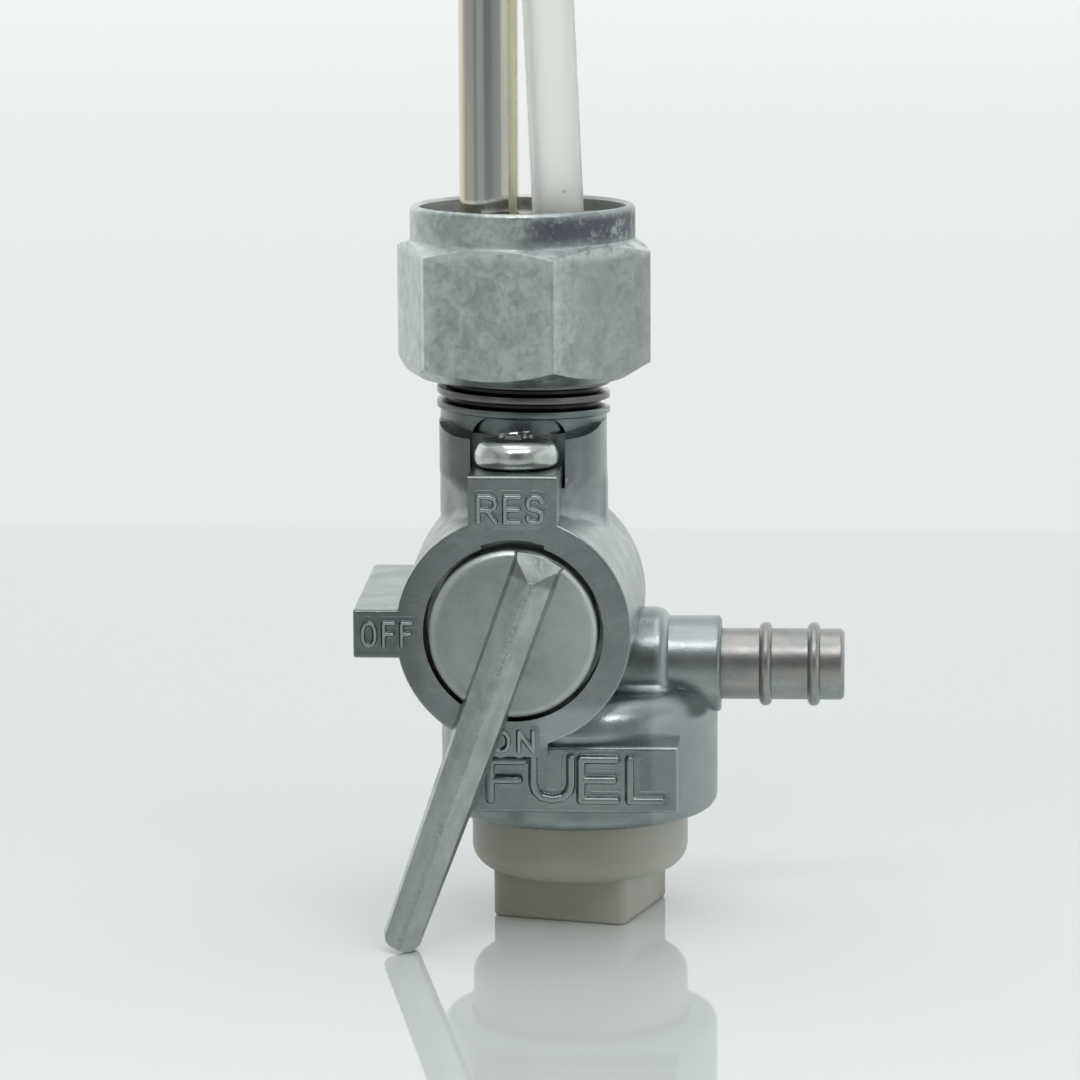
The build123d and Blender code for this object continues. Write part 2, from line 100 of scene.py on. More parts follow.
class Shade:
    """One material and the nodes that it is made of."""

    def __init__(self, name, **constants):
        self.material = bpy.data.materials.new(name)
        self.material.use_nodes = True
        self.tree = self.material.node_tree
        self.tree.nodes.clear()
        self.out = self.tree.nodes.new("ShaderNodeOutputMaterial")
        self.bsdf = self.tree.nodes.new("ShaderNodeBsdfPrincipled")
        self.tree.links.new(self.bsdf.outputs[0], self.out.inputs["Surface"])
        for key, value in constants.items():
            self.bsdf.inputs[key.replace("_", " ")].default_value = value
        self.coord = self.node("TexCoord").outputs["Object"]

    def node(self, kind, settings=None, **inputs):
        made = self.tree.nodes.new("ShaderNode" + kind)
        for key, value in (settings or {}).items():
            setattr(made, key, value)
        for key, value in inputs.items():
            self.feed(made.inputs[key.replace("_", " ")], value)
        return made

    def feed(self, socket, value):
        if isinstance(value, Value):
            value = value.socket
        if isinstance(value, bpy.types.NodeSocket):
            self.tree.links.new(value, socket)
        else:
            socket.default_value = value

    def math(self, operation, *args):
        made = self.node("Math", {"operation": operation})
        for i, value in enumerate(args):
            self.feed(made.inputs[i], value)
        return Value(self, made.outputs[0])

    def place(self):
        """Object coordinates in millimetres, as three values."""
        parts = self.node("SeparateXYZ", Vector=self.coord).outputs
        return [Value(self, parts[i]) * (1 / MM) for i in range(3)]

    def vector(self, x, y, z):
        made = self.node("CombineXYZ")
        for i, value in enumerate((x, y, z)):
            self.feed(made.inputs[i], value)
        return made.outputs[0]

    def noise(self, size, detail=3.0, roughness=0.55, distortion=0.0, vector=None, shift=0.0):
        """Noise whose blotches are about size millimetres across, from 0 to 1."""
        where = self.coord if vector is None else vector
        if shift:
            where = self.node("Mapping", Vector=where, Location=(shift, shift * 0.7, -shift)).outputs[0]
        scale = 1 / (size * MM) if vector is None else 1 / size
        made = self.node("TexNoise", Vector=where, Scale=scale, Detail=detail, Roughness=roughness,
                         Distortion=distortion)
        return Value(self, made.outputs["Fac"])

    def cells(self, size):
        """Distance to the nearest of cells about size millimetres across."""
        made = self.node("TexVoronoi", Vector=self.coord, Scale=1 / (size * MM))
        return Value(self, made.outputs["Distance"])

    def span(self, value, low, high, to_low=0.0, to_high=1.0):
        """Maps low..high smoothly to to_low..to_high and holds it there outside."""
        made = self.node("MapRange", {"interpolation_type": "SMOOTHSTEP"})
        for key, item in (("Value", value), ("From Min", low), ("From Max", high),
                          ("To Min", to_low), ("To Max", to_high)):
            self.feed(made.inputs[key], item)
        return Value(self, made.outputs[0])

    def blend(self, factor, first, second):
        """The first colour where factor is 0, and the second where it is 1."""
        made = self.node("Mix", {"data_type": "RGBA"})
        self.feed(made.inputs[0], factor)
        for socket, colour in ((made.inputs[6], first), (made.inputs[7], second)):
            self.feed(socket, colour if isinstance(colour, bpy.types.NodeSocket) else (*colour, 1.0))
        return made.outputs[2]

    def bump(self, height, depth, normal=None):
        """Bump from a height of 0 to 1 that stands for depth millimetres."""
        made = self.node("Bump", Height=height, Distance=depth * MM, Strength=1.0)
        if normal is not None:
            self.feed(made.inputs["Normal"], normal)
        return made.outputs[0]

    def finish(self, **inputs):
        for key, value in inputs.items():
            self.feed(self.bsdf.inputs[key.replace("_", " ")], value)
        return self.material


# ---- materials

BODY_DARK, BODY_LIGHT = (0.262, 0.294, 0.297), (0.335, 0.372, 0.372)
BODY_BLOTCH, BODY_ROUGH = 7.0, (0.24, 0.33)
SHADE_DARK = (0.13, 0.145, 0.145)


def cast_metal(name, dark, light, blotch, rough, marks, grain=0.012):
    """Die-cast zinc: soft blotches about blotch millimetres wide, a fine grain and tiny pits, and its marks."""
    s = Shade(name, Metallic=1.0)
    wide = s.noise(blotch, 4, 0.6, 0.6)
    fine = s.noise(blotch * 0.22, 3, 0.6, shift=0.3)
    mix = s.span(wide * 0.7 + fine * 0.3, 0.34, 0.66)
    colour = s.blend(mix, dark, light)
    roughness = s.span(s.noise(blotch * 0.5, 3, shift=0.9), 0.3, 0.7, rough[0], rough[1])
    ripple = s.bump(s.noise(1.4, 2, 0.5, shift=1.3), grain * 2.2)
    pits = s.span(s.cells(0.55), 0.0, 0.16)
    normal = s.bump(s.noise(0.22, 3, 0.65), grain, s.bump(pits, grain * 0.8, ripple))
    colour, roughness, normal = marks(s, colour, roughness, normal)
    return s.finish(Base_Color=colour, Roughness=roughness, Normal=normal)


def left_shade(s, x):
    """Painted shade: the front faces of the ring and its tabs darken towards the left."""
    return s.span(x, 2.0, -13.0) * 0.12 + s.span(x, -7.5, -11.5) * 0.5


def body_marks(s, colour, roughness, normal):
    x, y, z = s.place()
    radius = (x * x + y * y) ** 0.5
    # the turned thread under the nut is darker than the casting, and its foot slopes a little to the back; painted
    # shade makes the thread's grooves near black
    thread_foot, thread_top, foot_slope = 53.25, 58.6, 0.094
    lean = z + y * foot_slope
    thread = s.span(lean, thread_foot, thread_foot + 0.2) * s.span(z, thread_top, thread_top - 0.6)
    groove_shade = s.span(radius, NECK_CREST - 0.2, NECK_ROOT + 0.2)
    colour = s.blend(thread * 0.75, colour, (0.115, 0.105, 0.098))
    colour = s.blend(thread * groove_shade * 0.9, colour, (0.02, 0.02, 0.02))
    # painted shade darkens the casting beside the screw, most of all close to the thread under the nut; on the left
    # it is also stained brown
    left = s.span(x, 2.0, -4.0)
    screw_shade = s.span(z + left * 3.5, 40.0, 46.5) * s.span(lean, thread_foot + 0.1, thread_foot - 0.05)
    screw_shade = screw_shade * s.span(y, -2.0, -6.0) * s.span(y, -17.0, -13.0)
    colour = s.blend(screw_shade * (0.42 + s.span(z, 49.0, 53.5) * 0.22), colour, (0.12, 0.145, 0.155))
    brown = screw_shade * s.span(x, -2.0, -6.0) * s.span(s.noise(3.0, 4, 0.6, shift=7.7), 0.3, 0.6)
    colour = s.blend(brown * 0.5, colour, (0.16, 0.155, 0.135))
    # painted shade: the bore is painted near black in its depth, and so are the slots between disc and ring
    from_drum = (x * x + (z - DRUM_Z) * (z - DRUM_Z)) ** 0.5
    bore_shade = s.span(from_drum, BORE_R + 0.06, BORE_R) * s.span(y, RING_FACE + 0.04, RING_FACE + 0.3)
    colour = s.blend(bore_shade * s.span(y, 0.0, -4.0) * 0.97, colour, (0.01, 0.011, 0.012))
    # painted shade: the ring's front faces darken towards the left
    front = s.span(y, RING_FACE + 1.1, RING_FACE + 0.3)
    colour = s.blend(front * left_shade(s, x), colour, SHADE_DARK)
    # a painted highlight brightens the shoulder under the drum, and painted shade makes the chamber's side darker
    shoulder_highlight = s.span(z, 20.5, 21.3) * s.span(z, 26.0, 24.0) * s.span(y, -7.0, -10.0)
    shoulder_highlight = shoulder_highlight * s.span(x, 1.0, 4.0) * s.span(x, 12.0, 9.0)
    colour = s.blend(shoulder_highlight * 0.5, colour, (0.62, 0.69, 0.70))
    side = s.span(x, 9.5, 12.5) * s.span(z, 23.0, 20.0) * s.span(z, 7.0, 9.0) * s.span(y, 0.0, -4.0)
    colour = s.blend(side * 0.45, colour, (0.20, 0.24, 0.255))
    # a painted highlight makes the spigot's collar lighter; its beads and its hose end are lighter with wear
    collar_highlight = s.span(x, 13.4, 14.4) * s.span(x, 20.6, 20.0)
    colour = s.blend(collar_highlight * 0.3, colour, (0.52, 0.57, 0.57))
    worn = s.span(x, 20.0, 22.0) * s.span(s.noise(2.4, 4, 0.65, shift=5.1), 0.42, 0.66)
    colour = s.blend(worn * 0.3, colour, (0.50, 0.50, 0.48))
    hose = s.span(x, 20.6, 21.2) * s.span(s.noise(3.4, 4, 0.65, shift=2.9), 0.35, 0.6)
    colour = s.blend(hose * 0.65, colour, (0.44, 0.40, 0.365))
    return colour, roughness - thread * 0.1 + s.span(x, 14.0, 21.0) * 0.08, normal


def word_marks(face_y, high, shaded):
    """Marks of letters that stand high above the face at y = face_y. Painted shade darkens the sides that face up
    and left, which have a material of their own, and the closed counters are darker too."""
    on_ring = face_y == RING_FACE

    def marks(s, colour, roughness, normal):
        x, y, z = s.place()
        rise = face_y - y
        # painted shade: the letters on the ring darken towards the left, as the ring's face does
        if on_ring:
            colour = s.blend(left_shade(s, x), colour, SHADE_DARK)
        # painted shade on the sides that face up and left; on the other sides only the closed counters darken
        if shaded:
            foot = s.span(rise, 0.02, 0.06) * s.span(rise, high, high * 0.55)
        else:
            foot = s.span(rise, 0.03, 0.05) * s.span(rise, 0.09, 0.06)
        patch = s.span(s.noise(0.9, 4, 0.6, shift=4.4), 0.25, 0.6, 0.7, 1.0)
        colour = s.blend(foot * patch * 0.75, colour, (0.05, 0.056, 0.06))
        crest = s.span(rise, high * 0.8, high)
        colour = s.blend(crest * (0.55 if on_ring else 0.2), colour, (0.56, 0.61, 0.61))
        return colour, roughness, normal
    return marks


def nut_marks(s, colour, roughness, normal):
    x, y, z = s.place()
    radius = (x * x + y * y) ** 0.5
    # greenish and frosted patches, and corners worn bright
    green = s.span(s.noise(1.7, 4, 0.7, 0.8, shift=8.8), 0.5, 0.66)
    colour = s.blend(green * 0.5, colour, (0.30, 0.36, 0.315))
    frost = s.span(s.noise(3.2, 5, 0.7, 1.2, shift=2.1), 0.46, 0.62)
    colour = s.blend(frost * 0.3, colour, (0.60, 0.66, 0.64))
    edge = s.span(radius, 13.1, 13.5) * s.span(s.noise(1.6, 4, 0.7, shift=6.3), 0.35, 0.6)
    colour = s.blend(edge * 0.55, colour, (0.72, 0.76, 0.74))
    # painted light and shade: darker towards the right, lighter on the left
    colour = s.blend(s.span(x, 2.5, 8.5) * 0.5, colour, (0.28, 0.32, 0.325))
    colour = s.blend(s.span(x, -8.0, -12.0) * 0.5, colour, (0.68, 0.72, 0.70))
    # a dark purple stain on the lip's front, at the right
    stain = s.span(s.noise(1.8, 5, 0.7, shift=3.7), 0.34, 0.5) * s.span(z, 70.4, 72.4)
    stain = stain * s.span(z, NUT_LIP + 0.2, NUT_LIP - 1.1) * s.span(x, -2.5, 4.0) * s.span(y, 2.0, -3.0)
    colour = s.blend(stain * 0.82, colour, (0.08, 0.075, 0.11))
    # a painted highlight brightens the chamfer over the hexagon, and the plain metal inside is lighter
    chamfer_highlight = s.span(z, 69.3, 70.5) * s.span(z, 71.4, 71.15) * s.span(s.noise(1.4, 3, 0.6, shift=1.9), 0.3, 0.55)
    colour = s.blend(chamfer_highlight * 0.6, colour, (0.84, 0.88, 0.87))
    inside = s.span(radius, NUT_MOUTH + 0.3, NUT_MOUTH + 0.1)
    colour = s.blend(inside * 0.5, colour, (0.56, 0.54, 0.50))
    flakes = s.bump(s.span(s.cells(1.1), 0.1, 0.5), 0.014, normal)
    return colour, roughness - s.span(z, NUT_LIP - 0.5, NUT_LIP - 0.1) * 0.1 - edge * 0.08, flakes


def lever_marks(s, colour, roughness, normal):
    x, y, z = s.place()
    cos, sin = math.cos(LEVER_TURN), math.sin(LEVER_TURN)
    across, along = x * cos - (z - DRUM_Z) * sin, x * sin + (z - DRUM_Z) * cos
    bar = s.span(y, DISC_FACE, DISC_FACE - 0.4)
    disc = s.span(y, DISC_FACE - 0.05, DISC_FACE + 0.05)
    drawn = s.vector(across * 3.0, y, along * 0.8)
    streaks = s.span(s.noise(3.0, 4, 0.65, vector=drawn), 0.4, 0.64)
    colour = s.blend(streaks * bar * 0.35, colour, (0.62, 0.66, 0.64))
    # painted shade darkens the nose that slopes down to the disc
    nose_shade = s.span(along, 5.6, 6.2) * s.span(along, 8.66, 8.5) * s.span(abs(across), 2.6, 2.3)
    nose_shade = nose_shade * s.span(y, DISC_FACE + 0.08, DISC_FACE)
    colour = s.blend(nose_shade * 0.55, colour, SHADE_DARK)
    # painted light and shade: the disc is lighter on its right and darker on its left, and a painted highlight runs
    # along the top of its rim
    colour = s.blend(disc * s.span(x, 1.0, 8.0) * 0.5, colour, (0.64, 0.72, 0.71))
    colour = s.blend(disc * s.span(x, -3.0, -8.0) * 0.25, colour, (0.25, 0.28, 0.275))
    rim_highlight = s.span((across * across + along * along) ** 0.5, 7.6, 8.2) * disc * s.span(z, 31.0, 37.0)
    colour = s.blend(rim_highlight * 0.55, colour, (0.80, 0.86, 0.86))
    # the bar's lower end is lighter
    colour = s.blend(s.span(along, -14.0, -26.0) * 0.3, colour, (0.60, 0.67, 0.67))
    # rough rubbed patches and dents along the bar's ridge
    near_ridge = s.span(abs(across), 1.3, 0.2) * bar
    patches = s.noise(0.8, 4, 0.7, vector=s.vector(across * 0.8, y, along * 0.6))
    colour = s.blend(s.span(patches, 0.50, 0.68) * near_ridge * 0.4, colour, (0.62, 0.65, 0.63))
    dents = s.span(s.noise(0.6, 3, 0.65, vector=s.vector(across, y, along)), 0.35, 0.7)
    return colour, roughness, s.bump(dents * near_ridge, 0.05, normal)


def cast_body():
    return cast_metal("cast_body", BODY_DARK, BODY_LIGHT, BODY_BLOTCH, BODY_ROUGH, body_marks)


def cast_words(name, face_y, high, shaded):
    return cast_metal(name, BODY_DARK, BODY_LIGHT, BODY_BLOTCH, BODY_ROUGH, word_marks(face_y, high, shaded))


def cast_nut():
    dark, light = (0.41, 0.455, 0.455), (0.64, 0.69, 0.68)
    return cast_metal("cast_nut", dark, light, 2.6, (0.36, 0.55), nut_marks, grain=0.018)


def cast_lever():
    dark, light = (0.36, 0.40, 0.395), (0.47, 0.515, 0.51)
    return cast_metal("cast_lever", dark, light, 5.0, (0.34, 0.5), lever_marks)


def plated_screw():
    s = Shade("plated_screw", Metallic=1.0)
    tint = s.span(s.noise(2.6, 2, 0.5), 0.4, 0.62)
    colour = s.blend(tint, (0.64, 0.66, 0.66), (0.54, 0.57, 0.53))
    marks = s.noise(0.35, 3, 0.6)
    return s.finish(Base_Color=colour, Roughness=s.span(marks, 0.3, 0.7, 0.14, 0.26),
                    Normal=s.bump(marks, 0.006))


def plated_pipe():
    s = Shade("plated_pipe", Metallic=1.0)
    x, y, z = s.place()
    # -1 at the pipe's left edge, 1 at its right: yellow towards both, mauve in a band on the left
    side = (x - MAIN_X) / MAIN_R
    streaks = s.noise(2.4, 3, 0.6, vector=s.vector(x * 6.0, y * 6.0, z * 0.12))
    drift = s.noise(7.0, 3, 0.6, vector=s.vector(x * 2.0, y * 2.0, z * 0.35)) - 0.5
    yellow = s.span(abs(side) + drift * 0.9, 0.5, 0.85)
    colour = s.blend(yellow, (0.54, 0.56, 0.53), (0.70, 0.68, 0.50))
    mauve = s.span(side + drift, -0.38, -0.62) * s.span(side, -0.9, -0.7)
    colour = s.blend(mauve * 0.8, colour, (0.60, 0.52, 0.47))
    rough = s.span(streaks, 0.3, 0.7, 0.05, 0.1)
    return s.finish(Base_Color=colour, Roughness=rough, Normal=s.bump(streaks, 0.003))


def plain_metal(name, colour, rough, size=1.2):
    s = Shade(name, Metallic=1.0)
    marks = s.noise(size, 3, 0.6)
    tone = s.blend(s.span(marks, 0.3, 0.7), [c * 0.85 for c in colour], colour)
    return s.finish(Base_Color=tone, Roughness=s.span(marks, 0.3, 0.7, rough * 0.8, rough * 1.2),
                    Normal=s.bump(marks, 0.005))


def nylon():
    s = Shade("nylon", Roughness=0.55, IOR=1.3, Transmission_Weight=0.95)
    haze = s.noise(4.0, 3, 0.6)
    colour = s.blend(s.span(haze, 0.35, 0.65), (0.955, 0.96, 0.93), (0.98, 0.98, 0.965))
    x, y, z = s.place()
    # one brown speck on the tube's front
    speck_x, speck_z = 4.5, 76.2
    away = ((z - speck_z) * (z - speck_z) + (x - speck_x) * (x - speck_x)) ** 0.5
    speck = s.span(away, 0.26, 0.12) * s.span(y, 0.0, -1.0)
    colour = s.blend(speck * 0.6, colour, (0.2, 0.17, 0.15))
    return s.finish(Base_Color=colour, Normal=s.bump(s.noise(0.6, 3), 0.004))


def cup_plastic():
    s = Shade("cup", IOR=1.5, Subsurface_Weight=0.35, Subsurface_Radius=(1.0, 0.85, 0.65), Subsurface_Scale=0.002)
    cloud = s.noise(8.0, 3, 0.55)
    colour = s.blend(s.span(cloud, 0.35, 0.65), (0.39, 0.39, 0.325), (0.44, 0.44, 0.375))
    x, y, z = s.place()
    # painted light: the cup's right front side is painted lighter, where more light falls
    right = s.span(x, 7.0, 16.0) * s.span(y, 4.0, -2.0)
    colour = s.blend(right * 0.65, colour, (0.63, 0.63, 0.57))
    fine = s.noise(0.25, 3, 0.6)
    return s.finish(Base_Color=colour, Roughness=s.span(fine, 0.3, 0.7, 0.34, 0.46), Normal=s.bump(fine, 0.005))


def rubber(name, colour):
    s = Shade(name, Roughness=0.6, IOR=1.5)
    fine = s.noise(0.3, 3, 0.6)
    tone = s.blend(s.span(fine, 0.3, 0.7), [c * 0.8 for c in colour], colour)
    return s.finish(Base_Color=tone, Roughness=s.span(fine, 0.3, 0.7, 0.5, 0.7), Normal=s.bump(fine, 0.008))


MATERIALS = {
    "cast_body": cast_body(),
    "cast_nut": cast_nut(),
    "face_words": cast_words("face_words", RING_FACE, FACE_HIGH, False),
    "face_words_shade": cast_words("face_words_shade", RING_FACE, FACE_HIGH, True),
    "pad_words": cast_words("pad_words", PAD_FACE, PAD_HIGH, False),
    "pad_words_shade": cast_words("pad_words_shade", PAD_FACE, PAD_HIGH, True),
    "cast_lever": cast_lever(),
    "plated_screw": plated_screw(),
    "plated_pipe": plated_pipe(),
    "stub": plain_metal("stub", (0.60, 0.60, 0.58), 0.3),
    "nylon": nylon(),
    "cup": cup_plastic(),
    "gasket": rubber("gasket", (0.035, 0.035, 0.035)),
    "seal": rubber("seal", (0.02, 0.02, 0.02)),
    "rotor": rubber("rotor", (0.10, 0.09, 0.08)),
    "strainer": rubber("strainer", (0.55, 0.54, 0.48)),
    "spring": plain_metal("spring", (0.55, 0.55, 0.54), 0.25, 0.6),
    "gauze": plain_metal("gauze", (0.60, 0.60, 0.58), 0.3, 0.4),
}


def dress_nodes():
    """Gives each CAD node its material."""
    looks = {
        "body": "cast_body", "union_nut": "cast_nut", "lever": "cast_lever", "lever_screw": "plated_screw",
        "main_standpipe": "plated_pipe", "reserve_stub": "stub", "reserve_tube": "nylon",
        "sediment_cup": "cup", "tank_gasket": "gasket", "lever_o_ring": "seal", "cup_o_ring": "seal",
        "valve_packing": "rotor", "valve_rotor": "rotor", "strainer_frame": "strainer",
        "lever_spring": "spring", "strainer_gauze": "gauze",
    }
    for node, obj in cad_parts.items():
        obj.data.materials.clear()
        obj.data.materials.append(MATERIALS[looks[node]])


# ---- mesh helpers

def smooth_outward(mesh):
    """Turns a closed mesh's faces outward and shades them smooth."""
    work = bmesh.new()
    work.from_mesh(mesh)
    bmesh.ops.recalc_face_normals(work, faces=work.faces)
    for face in work.faces:
        face.smooth = True
    work.to_mesh(mesh)
    work.free()


def add_piece(name, verts, faces, material, body):
    mesh = bpy.data.meshes.new(name)
    mesh.from_pydata(verts, [], faces)
    mesh.validate()
    smooth_outward(mesh)
    mesh.materials.append(MATERIALS[material])
    obj = bpy.data.objects.new(name, mesh)
    bpy.context.scene.collection.objects.link(obj)
    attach(obj, body)
    return obj


class Tree:
    """A geometry node tree for one kind of piece, with named inputs for its sizes."""

    def __init__(self, name, sizes):
        self.tree = bpy.data.node_groups.new(name, "GeometryNodeTree")
        for size in sizes:
            self.tree.interface.new_socket(size, in_out="INPUT", socket_type="NodeSocketFloat")
        self.tree.interface.new_socket("Finish", in_out="INPUT", socket_type="NodeSocketMaterial")
        self.tree.interface.new_socket("Geometry", in_out="OUTPUT", socket_type="NodeSocketGeometry")
        self.given = self.tree.nodes.new("NodeGroupInput").outputs

    def node(self, kind, settings=None, **inputs):
        """A node and its first output. An input is given by its name, or as i0, i1 and so on by its place."""
        made = self.tree.nodes.new(kind if kind.startswith("Shader") else "GeometryNode" + kind)
        for key, item in (settings or {}).items():
            setattr(made, key, item)
        for key, item in inputs.items():
            socket = made.inputs[int(key[1:]) if key[1:].isdigit() else key.replace("_", " ")]
            if isinstance(item, bpy.types.NodeSocket):
                self.tree.links.new(item, socket)
            else:
                socket.default_value = item
        return made.outputs[0]

    def math(self, operation, *values):
        inputs = {f"i{n}": value for n, value in enumerate(values)}
        return self.node("ShaderNodeMath", {"operation": operation}, **inputs)

    def end(self, geometry):
        whole = self.node("RealizeInstances", Geometry=geometry)
        dressed = self.node("SetMaterial", Geometry=whole, Material=self.given["Finish"])
        self.tree.links.new(dressed, self.tree.nodes.new("NodeGroupOutput").inputs[0])

    def grow(self, name, material, body, slot, **sizes):
        """Runs the tree with its sizes in metres or turns, and keeps the result as a plain piece."""
        obj = bpy.data.objects.new(name, bpy.data.meshes.new(name))
        bpy.context.scene.collection.objects.link(obj)
        run = obj.modifiers.new(name, "NODES")
        run.node_group = self.tree
        for item in self.tree.interface.items_tree:
            if item.in_out == "INPUT":
                run[item.identifier] = MATERIALS[material] if item.name == "Finish" else float(sizes[item.name])
        bpy.context.view_layer.update()
        seen = obj.evaluated_get(bpy.context.evaluated_depsgraph_get())
        mesh = bpy.data.meshes.new_from_object(seen)
        obj.modifiers.remove(run)
        obj.data = mesh
        smooth_outward(mesh)
        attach(obj, body)
        return obj


def thread_tree():
    """One ridge wound about Z, up from height low. Its section is a trapezoid with the widths inner, on the side
    of the axis, and outer. Shift moves it outward from the foot radius, and fade is the part of a turn over
    which each end grows to its full size."""
    t = Tree("thread_ridge", ("foot", "low", "pitch", "turns", "high", "shift", "inner", "outer", "round", "fade"))
    given = t.given
    climb = t.math("MULTIPLY", given["pitch"], given["turns"])
    path = t.node("CurveSpiral", Resolution=96, Rotations=given["turns"], Height=climb,
                  Start_Radius=given["foot"], End_Radius=given["foot"])
    path = t.node("SetCurveNormal", {"mode": "Z_UP"}, Curve=path)
    along = t.node("SplineParameter")
    to_start = t.math("MULTIPLY", along, given["turns"])
    to_end = t.math("SUBTRACT", given["turns"], to_start)
    ease = t.math("MINIMUM", t.math("DIVIDE", t.math("MINIMUM", to_start, to_end), given["fade"]), 1.0)
    path = t.node("SetCurveRadius", Curve=path, Radius=t.math("MAXIMUM", ease, 0.01))
    ridge = t.node("CurvePrimitiveQuadrilateral", {"mode": "TRAPEZOID"}, Height=given["high"], Offset=0.0,
                   Bottom_Width=given["inner"], Top_Width=given["outer"])
    ridge = t.node("FilletCurve", {"mode": "POLY"}, Curve=ridge, Count=2, Radius=given["round"])
    moved = t.node("ShaderNodeCombineXYZ", i0=t.math("MULTIPLY", given["shift"], -1.0))
    ridge = t.node("Transform", Geometry=ridge, Translation=moved, Rotation=(0.0, 0.0, math.pi / 2))
    wound = t.node("CurveToMesh", Curve=path, Profile_Curve=ridge, Fill_Caps=True)
    t.end(t.node("Transform", Geometry=wound, Translation=t.node("ShaderNodeCombineXYZ", i2=given["low"])))
    return t


# ---- raised words, drawn as strokes on a unit cell

GLYPHS = {
    "R": ([(0, 0), (0, 1), (0.62, 1), (0.92, 0.9), (0.98, 0.74), (0.9, 0.57), (0.62, 0.48), (0, 0.48)],
          [(0.5, 0.48), (1, 0)]),
    "E": ([(1, 1), (0, 1), (0, 0), (1, 0)], [(0, 0.5), (0.92, 0.5)]),
    "S": ([(1, 0.8), (0.86, 0.95), (0.6, 1), (0.35, 1), (0.08, 0.92), (0, 0.75), (0.1, 0.58), (0.35, 0.51),
           (0.65, 0.49), (0.92, 0.41), (1, 0.25), (0.9, 0.07), (0.62, 0), (0.36, 0), (0.12, 0.06), (0, 0.2)],),
    "O": ([(0.5, 1), (0.8, 0.93), (0.97, 0.72), (1, 0.5), (0.97, 0.28), (0.8, 0.07), (0.5, 0), (0.2, 0.07),
           (0.03, 0.28), (0, 0.5), (0.03, 0.72), (0.2, 0.93), (0.5, 1)],),
    "F": ([(0, 0), (0, 1), (1, 1)], [(0, 0.52), (0.85, 0.52)]),
    "N": ([(0, 0), (0, 1), (1, 0), (1, 1)],),
    "U": ([(0, 1), (0, 0.36), (0.06, 0.18), (0.22, 0.05), (0.5, 0), (0.78, 0.05), (0.94, 0.18), (1, 0.36), (1, 1)],),
    "L": ([(0, 1), (0, 0), (1, 0)],),
}


def stroke_distance(px, pz, strokes):
    best = np.full(px.shape, 1e9)
    for line in strokes:
        for (x0, z0), (x1, z1) in zip(line[:-1], line[1:]):
            dx, dz = x1 - x0, z1 - z0
            t = np.clip(((px - x0) * dx + (pz - z0) * dz) / max(dx * dx + dz * dz, 1e-12), 0, 1)
            best = np.minimum(best, np.hypot(px - x0 - t * dx, pz - z0 - t * dz))
    return best


def raised_word(name, letters, face_y, half, soft, high, cell, material):
    """A word as one closed sheet of fine cells; letters are (glyph, x0, x1, z0, z1) in mm, half is half a
    stroke's width and soft the width of its sloped side. Past the foot of a letter the sheet runs out flat in
    a skirt, which stands a few hundredths proud where strokes close in on each other."""
    skirt, skirt_high, skirt_low = 0.45, 0.05, 0.004
    # the sides that face up and left slope gently, and the others are steep
    uneven = 0.45
    strokes = [[(x0 + half + u * (x1 - x0 - 2 * half), z0 + half + v * (z1 - z0 - 2 * half)) for u, v in line]
               for glyph, x0, x1, z0, z1 in letters for line in GLYPHS[glyph]]
    edge = soft + skirt + cell
    xs = np.arange(min(l[1] for l in letters) - edge, max(l[2] for l in letters) + edge, cell)
    zs = np.arange(min(l[3] for l in letters) - edge, max(l[4] for l in letters) + edge, cell)
    px, pz = np.meshgrid(xs, zs, indexing="ij")
    d = stroke_distance(px, pz, strokes)
    gx, gz = np.gradient(d, cell)
    turned = np.clip((gz - gx) / math.sqrt(2), -1, 1)
    slope = soft * (1 + uneven * turned)
    t = np.clip((half + slope / 2 - d) / slope, 0, 1)
    out = np.clip((d - half - soft / 2) / skirt, 0, 1)
    # how much of the neighbourhood is stroke: high in the counters, low outside the word
    window, open_share, shut_share = 0.55, 0.42, 0.64
    reach = int(window / cell)
    weight = np.exp(-np.linspace(-2, 2, 2 * reach + 1) ** 2)
    near = (d < half + 0.1).astype(float)
    for axis in (0, 1):
        near = np.apply_along_axis(np.convolve, axis, near, weight / weight.sum(), "same")
    shut = np.clip((near - open_share) / (shut_share - open_share), 0, 1)
    rise = skirt_high * (0.3 + 0.7 * shut) * (1 - out) + skirt_low + (high - skirt_high) * t * t * (3 - 2 * t)
    keep = d < half + soft / 2 + skirt
    quads = []
    for i in range(len(xs) - 1):
        for k in range(len(zs) - 1):
            if keep[i:i + 2, k:k + 2].all():
                quads.append(((i, k), (i + 1, k), (i + 1, k + 1), (i, k + 1)))
    index = {p: n for n, p in enumerate(sorted({p for quad in quads for p in quad}))}
    lower = len(index)
    verts = [(px[p] * MM, (face_y - rise[p]) * MM, pz[p] * MM) for p in index]
    verts += [(px[p] * MM, (face_y + WORD_SUNK) * MM, pz[p] * MM) for p in index]
    # each cell above and below, and a wall along the sheet's open edges
    faces, open_edges, shade = [], set(), []
    for quad in quads:
        ids = [index[p] for p in quad]
        shade += [int(turned[quad[0]] > 0), 0]
        faces += [tuple(ids), tuple(v + lower for v in reversed(ids))]
        for a, b in zip(ids, ids[1:] + ids[:1]):
            if (b, a) in open_edges:
                open_edges.remove((b, a))
            else:
                open_edges.add((a, b))
    faces += [(b, a, a + lower, b + lower) for a, b in sorted(open_edges)]
    obj = add_piece(name, verts, faces, material, "tap")
    obj.data.materials.append(MATERIALS[material + "_shade"])
    for face, one in zip(obj.data.polygons, shade):
        face.material_index = one


def word(text, ends, low, top):
    """Letters for raised_word, with the left and right end of each."""
    return [(glyph, x0, x1, low, top) for glyph, (x0, x1) in zip(text, ends)]


